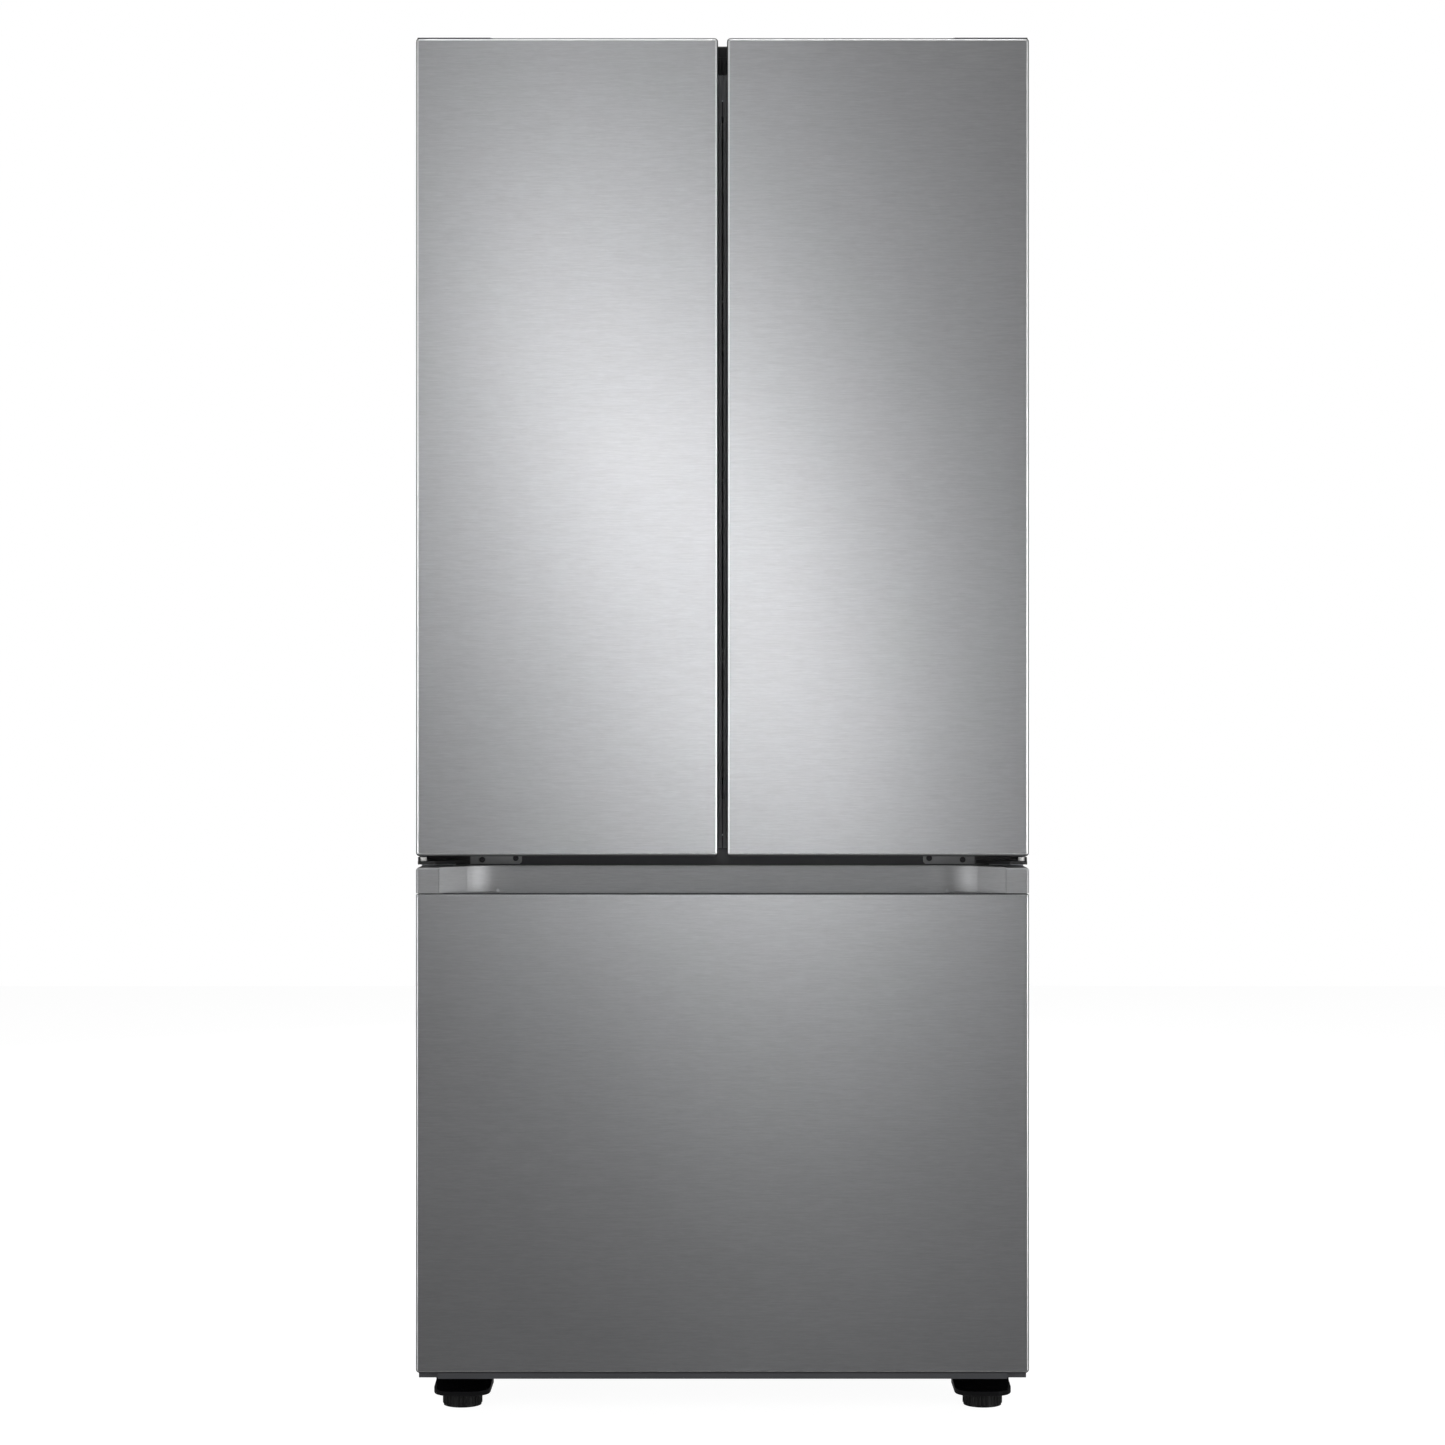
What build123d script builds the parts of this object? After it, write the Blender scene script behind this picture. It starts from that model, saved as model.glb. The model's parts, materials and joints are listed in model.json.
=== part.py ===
"""A french door refrigerator: two doors above, a freezer drawer below.

Millimetres. The front faces -Y, +X is to the right and +Z is up. The origin is on the floor,
under the centre of the whole appliance.
"""

from build123d import *
import os

os.makedirs("parts", exist_ok=True)

# ---- Driving dimensions ----
WIDTH = 756
DEPTH = 850
DOOR_THICK = 65  # steel front to the back of the door's inner panel
DOOR_GAP = 12  # between the doors and the cabinet, filled by the gasket
REAR_SPACE = 13  # how far the rear spacers stand off the back panel

TOP = 1704  # top of the cabinet and of the doors
DOOR_BOTTOM = 695
DRAWER_TOP = 681.5
HANDLE_BOTTOM = 649.5  # lower edge of the drawer's handle strip
SKIN_TOP = 648  # upper edge of the drawer's steel front
SKIN_BOTTOM = 58
DRAWER_BOTTOM = 51
CABINET_BOTTOM = 50
COVER_TOP = 1717

MEETING = 5.5  # half of the slit between the doors
SHEET = 1.0  # thickness of the steel skins
CORNER = 4.5  # corner radius of the fronts
RIM = 4.0  # radius along the rim of the door fronts
DRAWER_RIM = 3.0
GASKET = 14  # width of a gasket
RUN = 0.06  # radial clearance of every pin that turns

PIN_RADIUS = 3.5
PIN_INSET = 6.5  # door hinge axis, in from the side of the door
PIN_DEPTH = 30  # door hinge axis, behind the steel front

# ---- Worked out from those ----
SIDE = WIDTH / 2
FRONT = -DEPTH / 2
REAR = DEPTH / 2
INNER_PANEL = FRONT + DOOR_THICK
LINER_FRONT = INNER_PANEL - 6
CABINET_FRONT = INNER_PANEL + DOOR_GAP
CABINET_BACK = REAR - REAR_SPACE
SEAL = CABINET_FRONT - 0.3  # where the gaskets end, just short of the cabinet
HINGE_X = SIDE - PIN_INSET
HINGE_Y = FRONT + PIN_DEPTH

# Fresh food compartment, above
LINER = 2
FRIDGE_X = 333
FRIDGE_BACK = 340
FRIDGE_Z = (720, 1640)

# Freezer compartment, below, stepped over the machine compartment
FREEZER_X = 318
FREEZER_BACK = 330
FREEZER_Z = (112, 640)
STEP_Y = 170
STEP_Z = 313

# Machine compartment at the rear
MACHINE_X = 362
MACHINE_Y = 200
MACHINE_TOP = 285

# Trim over the front of the cabinet's top
CAP_Z = (1673.5, 1710)
CAP_BACK = CABINET_FRONT + 48

# Pivoting mullion on the left door, folded back at rest
MULLION_X = -24
MULLION_THICK = 20
MULLION_WIDE = 52
MULLION_Y = CABINET_FRONT + 0.3 + MULLION_THICK / 2
MULLION_Z = (766, 1619)
KNUCKLE_Z = (900, 1480)

# Feet and rollers
FOOT_X = 328
FOOT_Y = -329
FOOT_RADIUS = 25
FOOT_HEIGHT = 16
STEM_RADIUS = 6
SHOE_X = 327
SHOE_WIDE = 71
SHOE_FRONT = -367
ROLLER_X = 330
ROLLER_Y = 340
ROLLER_RADIUS = 22
AXLE_RADIUS = 5

# Drawer slides
RAIL_Z = (328, 377)
RAIL_Y = (-340, 100)


# ---- Helpers ----
def block(x, y, z, mode=Mode.ADD):
    """A box between the two limits given along each axis."""
    with Locations((sum(x) / 2, sum(y) / 2, sum(z) / 2)):
        Box(abs(x[1] - x[0]), abs(y[1] - y[0]), abs(z[1] - z[0]), mode=mode)


def post(x, y, z, radius, mode=Mode.ADD):
    """An upright cylinder between the two heights z."""
    with Locations((x, y, sum(z) / 2)):
        Cylinder(radius, z[1] - z[0], mode=mode)


def shaft_x(x, y, z, radius, mode=Mode.ADD):
    """A cylinder along X between the two limits x."""
    with Locations(Location((sum(x) / 2, y, z), (0, 90, 0))):
        Cylinder(radius, abs(x[1] - x[0]), mode=mode)


def shaft_y(x, y, z, radius, mode=Mode.ADD):
    """A cylinder along Y between the two limits y."""
    with Locations(Location((x, sum(y) / 2, z), (90, 0, 0))):
        Cylinder(radius, abs(y[1] - y[0]), mode=mode)


def frame(x, y, z, width):
    """An upright rectangular frame, its bars width wide."""
    block(x, y, z)
    inner_x = (min(x) + width, max(x) - width)
    inner_z = (z[0] + width, z[1] - width)
    block(inner_x, (y[0] - 1, y[1] + 1), inner_z, Mode.SUBTRACT)


def slab(x, z, y, corner, rim):
    """An upright slab with rounded corners and an eased front rim."""
    with BuildPart() as form:
        with BuildSketch(Plane.XZ.offset(-y[1])):
            with Locations((sum(x) / 2, sum(z) / 2)):
                RectangleRounded(abs(x[1] - x[0]), z[1] - z[0], corner)
        extrude(amount=y[1] - y[0])
        fillet(form.faces().sort_by(Axis.Y)[0].edges(), rim)
    return form.part


def tray(x, y, z, wall, radius):
    """An open box with rounded upright corners and a rolled rim."""
    with BuildPart() as form:
        with BuildSketch(Plane.XY.offset(z[0])):
            with Locations((sum(x) / 2, sum(y) / 2)):
                RectangleRounded(abs(x[1] - x[0]), y[1] - y[0], radius)
        extrude(amount=z[1] - z[0])
        fillet(form.faces().sort_by(Axis.Z)[0].edges(), radius / 2)
        with BuildSketch(Plane.XY.offset(z[0] + wall)):
            with Locations((sum(x) / 2, sum(y) / 2)):
                RectangleRounded(abs(x[1] - x[0]) - 2 * wall, y[1] - y[0] - 2 * wall, radius - wall)
        extrude(amount=z[1] - z[0], mode=Mode.SUBTRACT)
    return form.part


def save(piece, name):
    """Label a finished piece and write it."""
    piece.part.label = name
    export_step(piece.part, f"parts/{name}.step")


# ---- Cabinet: outer sheet, back, insulation and liners ----
with BuildPart() as cabinet_shell:
    block((-SIDE, SIDE), (CABINET_FRONT, CABINET_BACK), (CABINET_BOTTOM, TOP))
    block(
        (-SIDE + SHEET, SIDE - SHEET),
        (CABINET_FRONT + SHEET, CABINET_BACK + 1),
        (CABINET_BOTTOM - 1, TOP - SHEET),
        Mode.SUBTRACT,
    )
    block(
        (-FRIDGE_X - LINER, FRIDGE_X + LINER),
        (CABINET_FRONT - 1, CABINET_FRONT + 2),
        (CABINET_BOTTOM - 1, FRIDGE_Z[1] + LINER),
        Mode.SUBTRACT,
    )
    block((-SIDE - 1, SIDE + 1), (CABINET_FRONT - 1, CAP_BACK), (CAP_Z[0], TOP + 1), Mode.SUBTRACT)
save(cabinet_shell, "cabinet_shell")

with BuildPart() as top_front_cap:
    block((-SIDE, SIDE), (CABINET_FRONT, CAP_BACK), CAP_Z)
    block((-SIDE + 2, SIDE - 2), (CABINET_FRONT + 6, CAP_BACK + 1), (CAP_Z[0] - 1, TOP - 5), Mode.SUBTRACT)
    front_top = top_front_cap.edges().filter_by(Axis.X).group_by(Axis.Z)[-1].sort_by(Axis.Y)[0]
    fillet(front_top, 3)
    for side in (-1, 1):
        notch_x = (side * 286, side * (SIDE + 1))
        block(notch_x, (CABINET_FRONT - 1, CAP_BACK + 1), (TOP + 0.8, 1720), Mode.SUBTRACT)
save(top_front_cap, "top_front_cap")

with BuildPart() as back_panel:
    block((-SIDE + SHEET, SIDE - SHEET), (CABINET_BACK - 1.5, CABINET_BACK), (MACHINE_TOP - 5, TOP - SHEET))
    for field_z in ((330, 760), (800, 1230), (1270, 1660)):
        block((-320, 320), (CABINET_BACK - 1, CABINET_BACK + 2), field_z)
save(back_panel, "back_panel")

with BuildPart() as rear_spacers:
    for side in (-1, 1):
        for height in (480, 1600):
            block((side * 330, side * 360), (CABINET_BACK, REAR), (height - 25, height + 25))
    fillet(rear_spacers.faces().sort_by(Axis.Y)[-4:].edges(), 5)
save(rear_spacers, "rear_spacers")

with BuildPart() as cabinet_foam:
    skin = SIDE - SHEET
    block((-skin, skin), (CABINET_FRONT + SHEET, CABINET_BACK - 1.5), (CABINET_BOTTOM, TOP - SHEET))
    fridge_x = (-FRIDGE_X - LINER, FRIDGE_X + LINER)
    block(
        fridge_x,
        (CABINET_FRONT, FRIDGE_BACK + LINER),
        (FRIDGE_Z[0] - LINER, FRIDGE_Z[1] + LINER),
        Mode.SUBTRACT,
    )
    freezer_x = (-FREEZER_X - LINER, FREEZER_X + LINER)
    freezer_top = FREEZER_Z[1] + LINER
    block(freezer_x, (CABINET_FRONT, STEP_Y + LINER), (FREEZER_Z[0] - LINER, freezer_top), Mode.SUBTRACT)
    block(freezer_x, (STEP_Y, FREEZER_BACK + LINER), (STEP_Z - LINER, freezer_top), Mode.SUBTRACT)
    block((-MACHINE_X, MACHINE_X), (MACHINE_Y, REAR), (CABINET_BOTTOM - 1, MACHINE_TOP), Mode.SUBTRACT)
    block(fridge_x, (CABINET_FRONT, CABINET_FRONT + 12), (CABINET_BOTTOM - 1, FRIDGE_Z[0]), Mode.SUBTRACT)
    block((-SIDE, SIDE), (CABINET_FRONT, CABINET_FRONT + 6), (CAP_Z[0], TOP), Mode.SUBTRACT)
    block((-SIDE, SIDE), (CABINET_FRONT, CAP_BACK), (TOP - 5, TOP), Mode.SUBTRACT)
    for side in (-1, 1):
        block((side * (SIDE - 2), side * SIDE), (CABINET_FRONT, CAP_BACK), (CAP_Z[0], TOP), Mode.SUBTRACT)
save(cabinet_foam, "cabinet_foam")

with BuildPart() as fridge_liner:
    block(fridge_x, (CABINET_FRONT, FRIDGE_BACK + LINER), (FRIDGE_Z[0] - LINER, FRIDGE_Z[1] + LINER))
    block((-FRIDGE_X, FRIDGE_X), (CABINET_FRONT - 1, FRIDGE_BACK), FRIDGE_Z, Mode.SUBTRACT)
save(fridge_liner, "fridge_liner")

with BuildPart() as freezer_liner:
    block(freezer_x, (CABINET_FRONT + 12, STEP_Y + LINER), (FREEZER_Z[0] - LINER, freezer_top))
    block(freezer_x, (STEP_Y, FREEZER_BACK + LINER), (STEP_Z - LINER, freezer_top))
    block((-FREEZER_X, FREEZER_X), (CABINET_FRONT, STEP_Y), FREEZER_Z, Mode.SUBTRACT)
    block((-FREEZER_X, FREEZER_X), (STEP_Y - 5, FREEZER_BACK), (STEP_Z, FREEZER_Z[1]), Mode.SUBTRACT)
save(freezer_liner, "freezer_liner")

with BuildPart() as front_rails:
    for rail_z in ((freezer_top, FRIDGE_Z[0] - LINER), (CABINET_BOTTOM, FREEZER_Z[0] - LINER)):
        block(fridge_x, (CABINET_FRONT, CABINET_FRONT + 12), rail_z)
    for side in (-1, 1):
        outer = side * (FRIDGE_X + LINER)
        inner = side * FREEZER_X
        block((inner, outer), (CABINET_FRONT, CABINET_FRONT + 12), (CABINET_BOTTOM, FRIDGE_Z[0] - LINER))
save(front_rails, "front_rails")


# ---- Door hinges ----
PLATE_Z = (TOP + 1.2, TOP + 4)
HINGE_PLATE_X = (292, 375.2)
HINGE_PLATE_BACK = -216
ARM_Z = (684, 688)
with BuildPart() as top_hinges:
    for side in (-1, 1):
        plate_x = (side * HINGE_PLATE_X[0], side * HINGE_PLATE_X[1])
        block(plate_x, (HINGE_Y - 5, HINGE_PLATE_BACK), PLATE_Z)
        block(plate_x, (CAP_BACK + 0.5, HINGE_PLATE_BACK), (TOP, PLATE_Z[0]))
        notch_x = (side * (HINGE_PLATE_X[0] - 1), side * 345)
        block(notch_x, (HINGE_Y - 6, CABINET_FRONT - 6), (TOP + 1, TOP + 7), Mode.SUBTRACT)
        post(side * HINGE_X, HINGE_Y, (TOP - 18, PLATE_Z[0]), PIN_RADIUS)
save(top_hinges, "top_hinges")


def cover_profile(wall):
    """Side view of a hinge cover, low at the front and full height over the cabinet."""
    front = HINGE_Y - 7 + wall
    back = HINGE_PLATE_BACK + 6 - wall
    return (
        (front, TOP + 1),
        (front, TOP + 4.9 - wall / 2),
        (front + 40, COVER_TOP - wall),
        (back, COVER_TOP - wall),
        (back, TOP + 1),
    )


COVER_X = (288, SIDE)
COVER_WALL = 1.5
with BuildPart() as hinge_covers:
    for side in (-1, 1):
        middle = side * sum(COVER_X) / 2
        wide = COVER_X[1] - COVER_X[0]
        with BuildSketch(Plane.YZ.offset(middle - wide / 2)):
            with BuildLine():
                Polyline(*cover_profile(0), close=True)
            make_face()
        extrude(amount=wide)
    ridges = hinge_covers.edges().filter_by(Axis.X).group_by(Axis.Z)[-1]
    fillet(ridges, 2.5)
    for side in (-1, 1):
        middle = side * sum(COVER_X) / 2
        wide = COVER_X[1] - COVER_X[0] - 2 * COVER_WALL
        with BuildSketch(Plane.YZ.offset(middle - wide / 2)):
            with BuildLine():
                Polyline(*cover_profile(COVER_WALL), close=True)
            make_face()
        extrude(amount=wide, mode=Mode.SUBTRACT)
        under_x = (side * (COVER_X[0] - 1), side * (SIDE + 1))
        block(under_x, (HINGE_Y - 20, REAR), (TOP, TOP + 1.6), Mode.SUBTRACT)
save(hinge_covers, "hinge_covers")

with BuildPart() as middle_hinges:
    for side in (-1, 1):
        with BuildSketch(Plane.XY.offset(ARM_Z[0])):
            with BuildLine():
                Polyline(
                    (side * 377.6, HINGE_Y - 8),
                    (side * 356, HINGE_Y - 8),
                    (side * 318, CABINET_FRONT - 4),
                    (side * 318, CABINET_FRONT),
                    (side * 377.6, CABINET_FRONT),
                    close=True,
                )
            make_face()
        extrude(amount=ARM_Z[1] - ARM_Z[0])
        block((side * 376, side * 377.6), (HINGE_Y - 5, CABINET_FRONT), (ARM_Z[0], 693))
        with BuildSketch(Plane.XZ.offset(-CABINET_FRONT)):
            with Locations((side * 314.8, 692.25)):
                RectangleRounded(125.6, 19.5, 4)
        extrude(amount=3)
        post(side * HINGE_X, HINGE_Y, (ARM_Z[0], 714), PIN_RADIUS)
save(middle_hinges, "middle_hinges")

with BuildPart() as hinge_collars:
    for side in (-1, 1):
        post(side * HINGE_X, HINGE_Y, (ARM_Z[1], 693), 4.4)
        post(side * HINGE_X, HINGE_Y, (ARM_Z[1] - 1, 694), PIN_RADIUS, Mode.SUBTRACT)
    fillet(hinge_collars.edges().filter_by(GeomType.CIRCLE).filter_by(lambda e: e.radius > 4), 0.6)
save(hinge_collars, "hinge_collars")

with BuildPart() as hinge_screws:
    for side in (-1, 1):
        for screw_x, screw_z in ((301.6, 687.8), (259.5, 689.7)):
            with Locations(Location((side * screw_x, CABINET_FRONT - 3, screw_z), (90, 0, 0))):
                Cylinder(3.6, 2.2, align=(Align.CENTER, Align.CENTER, Align.MIN))
        for screw_x, screw_y in ((352, -280), (310, -280), (331, -236)):
            with Locations((side * screw_x, screw_y, PLATE_Z[1])):
                Cylinder(6, 3.5, align=(Align.CENTER, Align.CENTER, Align.MIN))
save(hinge_screws, "hinge_screws")


# ---- Base: frame, front legs, rollers ----
with BuildPart() as base_frame:
    for side in (-1, 1):
        block((side * 318, side * 358), (-288, 196), (34, CABINET_BOTTOM))
        block((side * 320, side * 356), (-289, 197), (33, 47), Mode.SUBTRACT)
        block((side * 308, side * 358), (196, 398), (38, CABINET_BOTTOM))
        for cheek in (ROLLER_X - 15, ROLLER_X + 12):
            block((side * cheek, side * (cheek + 3)), (ROLLER_Y - 14, ROLLER_Y + 14), (12, 38))
        shaft_x((side * (ROLLER_X - 15), side * (ROLLER_X + 15)), ROLLER_Y, ROLLER_RADIUS, AXLE_RADIUS)
        wheel_x = (side * (ROLLER_X - 12), side * (ROLLER_X + 12))
        block(wheel_x, (ROLLER_Y - 25, ROLLER_Y + 25), (36, 46.5), Mode.SUBTRACT)
    block((-318, 318), (-288, -262), (38, CABINET_BOTTOM))
    block((-318, 318), (196, 398), (46.5, CABINET_BOTTOM))
save(base_frame, "base_frame")

SHOE_Z = FOOT_HEIGHT + 1
with BuildPart() as leg_housings:
    for side in (-1, 1):
        x = side * SHOE_X
        with BuildSketch(Plane.YZ.offset(x - SHOE_WIDE / 2)):
            with BuildLine():
                Polyline(
                    (SHOE_FRONT, SHOE_Z),
                    (SHOE_FRONT, SHOE_Z + 6),
                    (-316, SHOE_Z + 11),
                    (-306, CABINET_BOTTOM),
                    (-290, CABINET_BOTTOM),
                    (-290, SHOE_Z),
                    close=True,
                )
            make_face()
        extrude(amount=SHOE_WIDE)
    corners = leg_housings.edges().filter_by(Axis.Z).group_by(Axis.Y)[0]
    fillet(corners, 22)
    fillet(leg_housings.faces().sort_by(Axis.Z).filter_by(Axis.Z)[:2].edges().group_by(Axis.Y)[0], 2.4)
    for side in (-1, 1):
        post(side * FOOT_X, FOOT_Y, (FOOT_HEIGHT, SHOE_Z + 7.5), STEM_RADIUS + RUN, Mode.SUBTRACT)
save(leg_housings, "leg_housings")


def levelling_foot(side, name):
    """A knurled disc on a stem that turns in the leg housing."""
    with BuildPart() as foot:
        post(side * FOOT_X, FOOT_Y, (0, FOOT_HEIGHT), FOOT_RADIUS - 1.2)
        knurls = 28
        with Locations((side * FOOT_X, FOOT_Y, 2.5 + (FOOT_HEIGHT - 4) / 2)):
            with PolarLocations(FOOT_RADIUS - 2, knurls):
                Cylinder(2, FOOT_HEIGHT - 4)
        post(side * FOOT_X, FOOT_Y, (FOOT_HEIGHT, SHOE_Z + 7), STEM_RADIUS)
    save(foot, name)


def rear_roller(side, name):
    """A wheel on its fixed axle."""
    with BuildPart() as roller:
        shaft_x((side * (ROLLER_X - 10), side * (ROLLER_X + 10)), ROLLER_Y, ROLLER_RADIUS, ROLLER_RADIUS)
        fillet(roller.edges().filter_by(GeomType.CIRCLE), 2)
        shaft_x(
            (side * (ROLLER_X - 11), side * (ROLLER_X + 11)),
            ROLLER_Y,
            ROLLER_RADIUS,
            AXLE_RADIUS + RUN,
            Mode.SUBTRACT,
        )
    save(roller, name)


for side, hand in ((-1, "left"), (1, "right")):
    levelling_foot(side, f"levelling_foot_{hand}")
    rear_roller(side, f"rear_roller_{hand}")


# ---- Machine compartment ----
FAN_X = 0
FAN_Z = 170
FAN_Y = (268, 292)
with BuildPart() as compressor:
    with BuildSketch(Plane.XY.offset(70)):
        with Locations((-230, 305)):
            RectangleRounded(170, 132, 62)
    extrude(amount=150)
    fillet(compressor.faces().sort_by(Axis.Z)[-1].edges(), 26)
    block((-330, -130), (270, 340), (60, 74))
    for foot_x in (-318, -142):
        for foot_y in (282, 328):
            post(foot_x, foot_y, (50, 60), 9)
    shaft_x((-150, -120), 300, 180, 5)
save(compressor, "compressor")

with BuildPart() as condenser:
    for row in range(3):
        for level in range(6):
            shaft_x((90, 335), 250 + row * 32, 80 + level * 32, 3.2)
    for fin in range(18):
        block((96 + fin * 13.6, 97.2 + fin * 13.6), (238, 326), (66, 256))
    block((88, 92), (236, 328), (50, 262))
    block((333, 337), (236, 328), (50, 262))
save(condenser, "condenser")

with BuildPart() as fan_mount:
    block((-85, 85), (FAN_Y[0] - 2, FAN_Y[1] + 4), (50, 262))
    shaft_y(FAN_X, (FAN_Y[0] - 4, FAN_Y[1] + 6), FAN_Z, 76, Mode.SUBTRACT)
    block((-78, 78), (FAN_Y[1] + 4, FAN_Y[1] + 9), (FAN_Z - 9, FAN_Z + 9))
    shaft_y(FAN_X, (FAN_Y[1] + 4, FAN_Y[1] + 45), FAN_Z, 26)
    shaft_y(FAN_X, (FAN_Y[0] + 2, FAN_Y[1] + 6), FAN_Z, 3)
save(fan_mount, "fan_mount")


def fan(x, y, z, radius, blades, name):
    """A fan with pitched blades, bored to turn on a spindle along Y."""
    hub = radius * 0.3
    with BuildPart() as rotor:
        shaft_y(x, y, z, hub)
        for step in range(blades):
            with Locations(Plane.XZ.offset(-sum(y) / 2).shift_origin((x, sum(y) / 2, z))):
                with Locations(Location((0, 0, 0), (0, 0, step * 360 / blades))):
                    with Locations(Location(((hub + radius) / 2, 0, 0), (28, 0, 0))):
                        Box(radius - hub + 6, radius * 0.42, 1.6)
        shaft_y(x, (y[0] - 1, y[1] + 1), z, 3 + RUN, Mode.SUBTRACT)
    save(rotor, name)


fan(FAN_X, FAN_Y, FAN_Z, 70, 5, "condenser_fan")

INLET = (-310, 90)
with BuildPart() as machine_cover:
    block((-SIDE + 4, SIDE - 4), (CABINET_BACK, CABINET_BACK + 1.5), (54, MACHINE_TOP - 6))
    through = (CABINET_BACK - 1, CABINET_BACK + 3)
    for column in range(-8, 9):
        for row_z in (130, 185, 240):
            block((column * 38 - 13, column * 38 + 13), through, (row_z - 3, row_z + 3), Mode.SUBTRACT)
    with BuildSketch(Plane.XZ.offset(-CABINET_BACK)):
        with Locations(INLET):
            RectangleRounded(58, 22, 4)
    extrude(amount=-7)
    shaft_y(INLET[0], (CABINET_BACK + 7, CABINET_BACK + 12), INLET[1], 7)
    shaft_y(INLET[0], (CABINET_BACK - 1, REAR), INLET[1], 3.6, Mode.SUBTRACT)
save(machine_cover, "machine_cover")


# ---- Fresh food compartment ----
SHELF_Z = (1180, 1410)
CRISPER_COVER_Z = 946
SHELF_FRONT = -246
SHELF_BACK = 300
with BuildPart() as shelf_glass:
    for level in (CRISPER_COVER_Z, *SHELF_Z):
        block((-316, 316), (SHELF_FRONT + 14, SHELF_BACK - 12), (level, level + 4))
save(shelf_glass, "shelf_glass")

with BuildPart() as shelf_frames:
    for level in (CRISPER_COVER_Z, *SHELF_Z):
        block((-326, 326), (SHELF_FRONT, SHELF_BACK), (level - 10, level + 7))
        block((-308, 308), (SHELF_FRONT + 22, SHELF_BACK - 20), (level - 11, level + 8), Mode.SUBTRACT)
        block((-316, 316), (SHELF_FRONT + 14, SHELF_BACK - 12), (level, level + 4), Mode.SUBTRACT)
        arm_z = level - (16 if level == CRISPER_COVER_Z else 34)
        for side in (-1, 1):
            block((side * 150, side * 156), (SHELF_BACK, FRIDGE_BACK - 4), (arm_z, level + 4))
            block((side * 150, side * 156), (SHELF_BACK - 190, SHELF_BACK), (arm_z, level - 10))
    for side in (-1, 1):
        block((side * 303, side * FRIDGE_X), (-240, 240), (FRIDGE_Z[0], 740))
        block((side * 300.5, side * 306), (-240, 240), (FRIDGE_Z[0], 727))
    block((-19, 19), (-230, 230), (FRIDGE_Z[0], 780))
    block((-17, 17), (-231, 231), (FRIDGE_Z[0] - 1, 777), Mode.SUBTRACT)
save(shelf_frames, "shelf_frames")

with BuildPart() as shelf_tracks:
    for side in (-1, 1):
        block((side * 145, side * 161), (FRIDGE_BACK - 4, FRIDGE_BACK), (760, 1600))
        for slot in range(26):
            slot_z = 790 + slot * 31
            slot_x = (side * 149, side * 157)
            block(slot_x, (FRIDGE_BACK - 5, FRIDGE_BACK - 1), (slot_z - 8, slot_z + 8), Mode.SUBTRACT)
save(shelf_tracks, "shelf_tracks")

with BuildPart() as fridge_duct:
    with BuildSketch(Plane.XZ.offset(-FRIDGE_BACK)):
        with Locations((0, 1290)):
            RectangleRounded(150, 660, 20)
    extrude(amount=18)
    fillet(fridge_duct.faces().sort_by(Axis.Y)[0].edges(), 5)
    for vent_z in (1080, 1120, 1300, 1340, 1520, 1560):
        for side in (-1, 1):
            vent_x = (side * 18, side * 58)
            block(vent_x, (FRIDGE_BACK - 20, FRIDGE_BACK - 6), (vent_z - 5, vent_z + 5), Mode.SUBTRACT)
save(fridge_duct, "fridge_duct")

with BuildPart() as ceiling_panel:
    for centre_y, wide, deep, tall in ((-262, 220, 60, 14), (-80, 260, 110, 8)):
        with BuildSketch(Plane.XY.offset(FRIDGE_Z[1])):
            with Locations((0, centre_y)):
                RectangleRounded(wide, deep, 10)
        extrude(amount=-tall)
    block((-100, 100), (-235, -132), (FRIDGE_Z[1] - 5, FRIDGE_Z[1]))
save(ceiling_panel, "ceiling_panel")

with BuildPart() as mullion_guides:
    for guide_z, tip in (((1621, FRIDGE_Z[1]), 0), ((FRIDGE_Z[0], 764), 1)):
        block((-14, 18), (CABINET_FRONT + 0.5, CABINET_FRONT + 40), guide_z)
    ends = mullion_guides.edges().filter_by(Axis.Y).group_by(Axis.Z)
    chamfer(ends[1] + ends[2], 6)
save(mullion_guides, "mullion_guides")

CRISPER_X = (22, 300)
CRISPER_Y = (-220, 220)
CRISPER_Z = (728, 925)


def crisper(side, name):
    """A clear drawer with a lip to pull."""
    x = (side * CRISPER_X[0], side * CRISPER_X[1])
    top = CRISPER_Z[1]
    bin_form = tray(x, CRISPER_Y, CRISPER_Z, 3, 14)
    with BuildPart() as drawer:
        add(bin_form)
        block((side * 40, side * 282), (CRISPER_Y[0] - 6, CRISPER_Y[0] + 2), (top - 24, top - 4))
        finger_x = (side * 44, side * 278)
        block(finger_x, (CRISPER_Y[0] - 4, CRISPER_Y[0] - 0.5), (top - 25, top - 8), Mode.SUBTRACT)
    save(drawer, name)


for side, hand in ((-1, "left"), (1, "right")):
    crisper(side, f"crisper_{hand}")

# ---- Freezer compartment ----
PANEL_Y = 282
with BuildPart() as freezer_duct:
    block((-FREEZER_X, FREEZER_X), (PANEL_Y, PANEL_Y + 3), (STEP_Z, FREEZER_Z[1]))
    for row_z in (360, 380, 400):
        for column in range(-4, 5):
            slot_x = (column * 60 - 22, column * 60 + 22)
            block(slot_x, (PANEL_Y - 1, PANEL_Y + 4), (row_z - 4, row_z + 4), Mode.SUBTRACT)
    shaft_y(0, (PANEL_Y - 1, PANEL_Y + 4), 560, 55, Mode.SUBTRACT)
    for bar in range(-4, 5):
        block((-54, 54), (PANEL_Y, PANEL_Y + 2), (558 + bar * 12, 562 + bar * 12))
save(freezer_duct, "freezer_duct")

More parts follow.
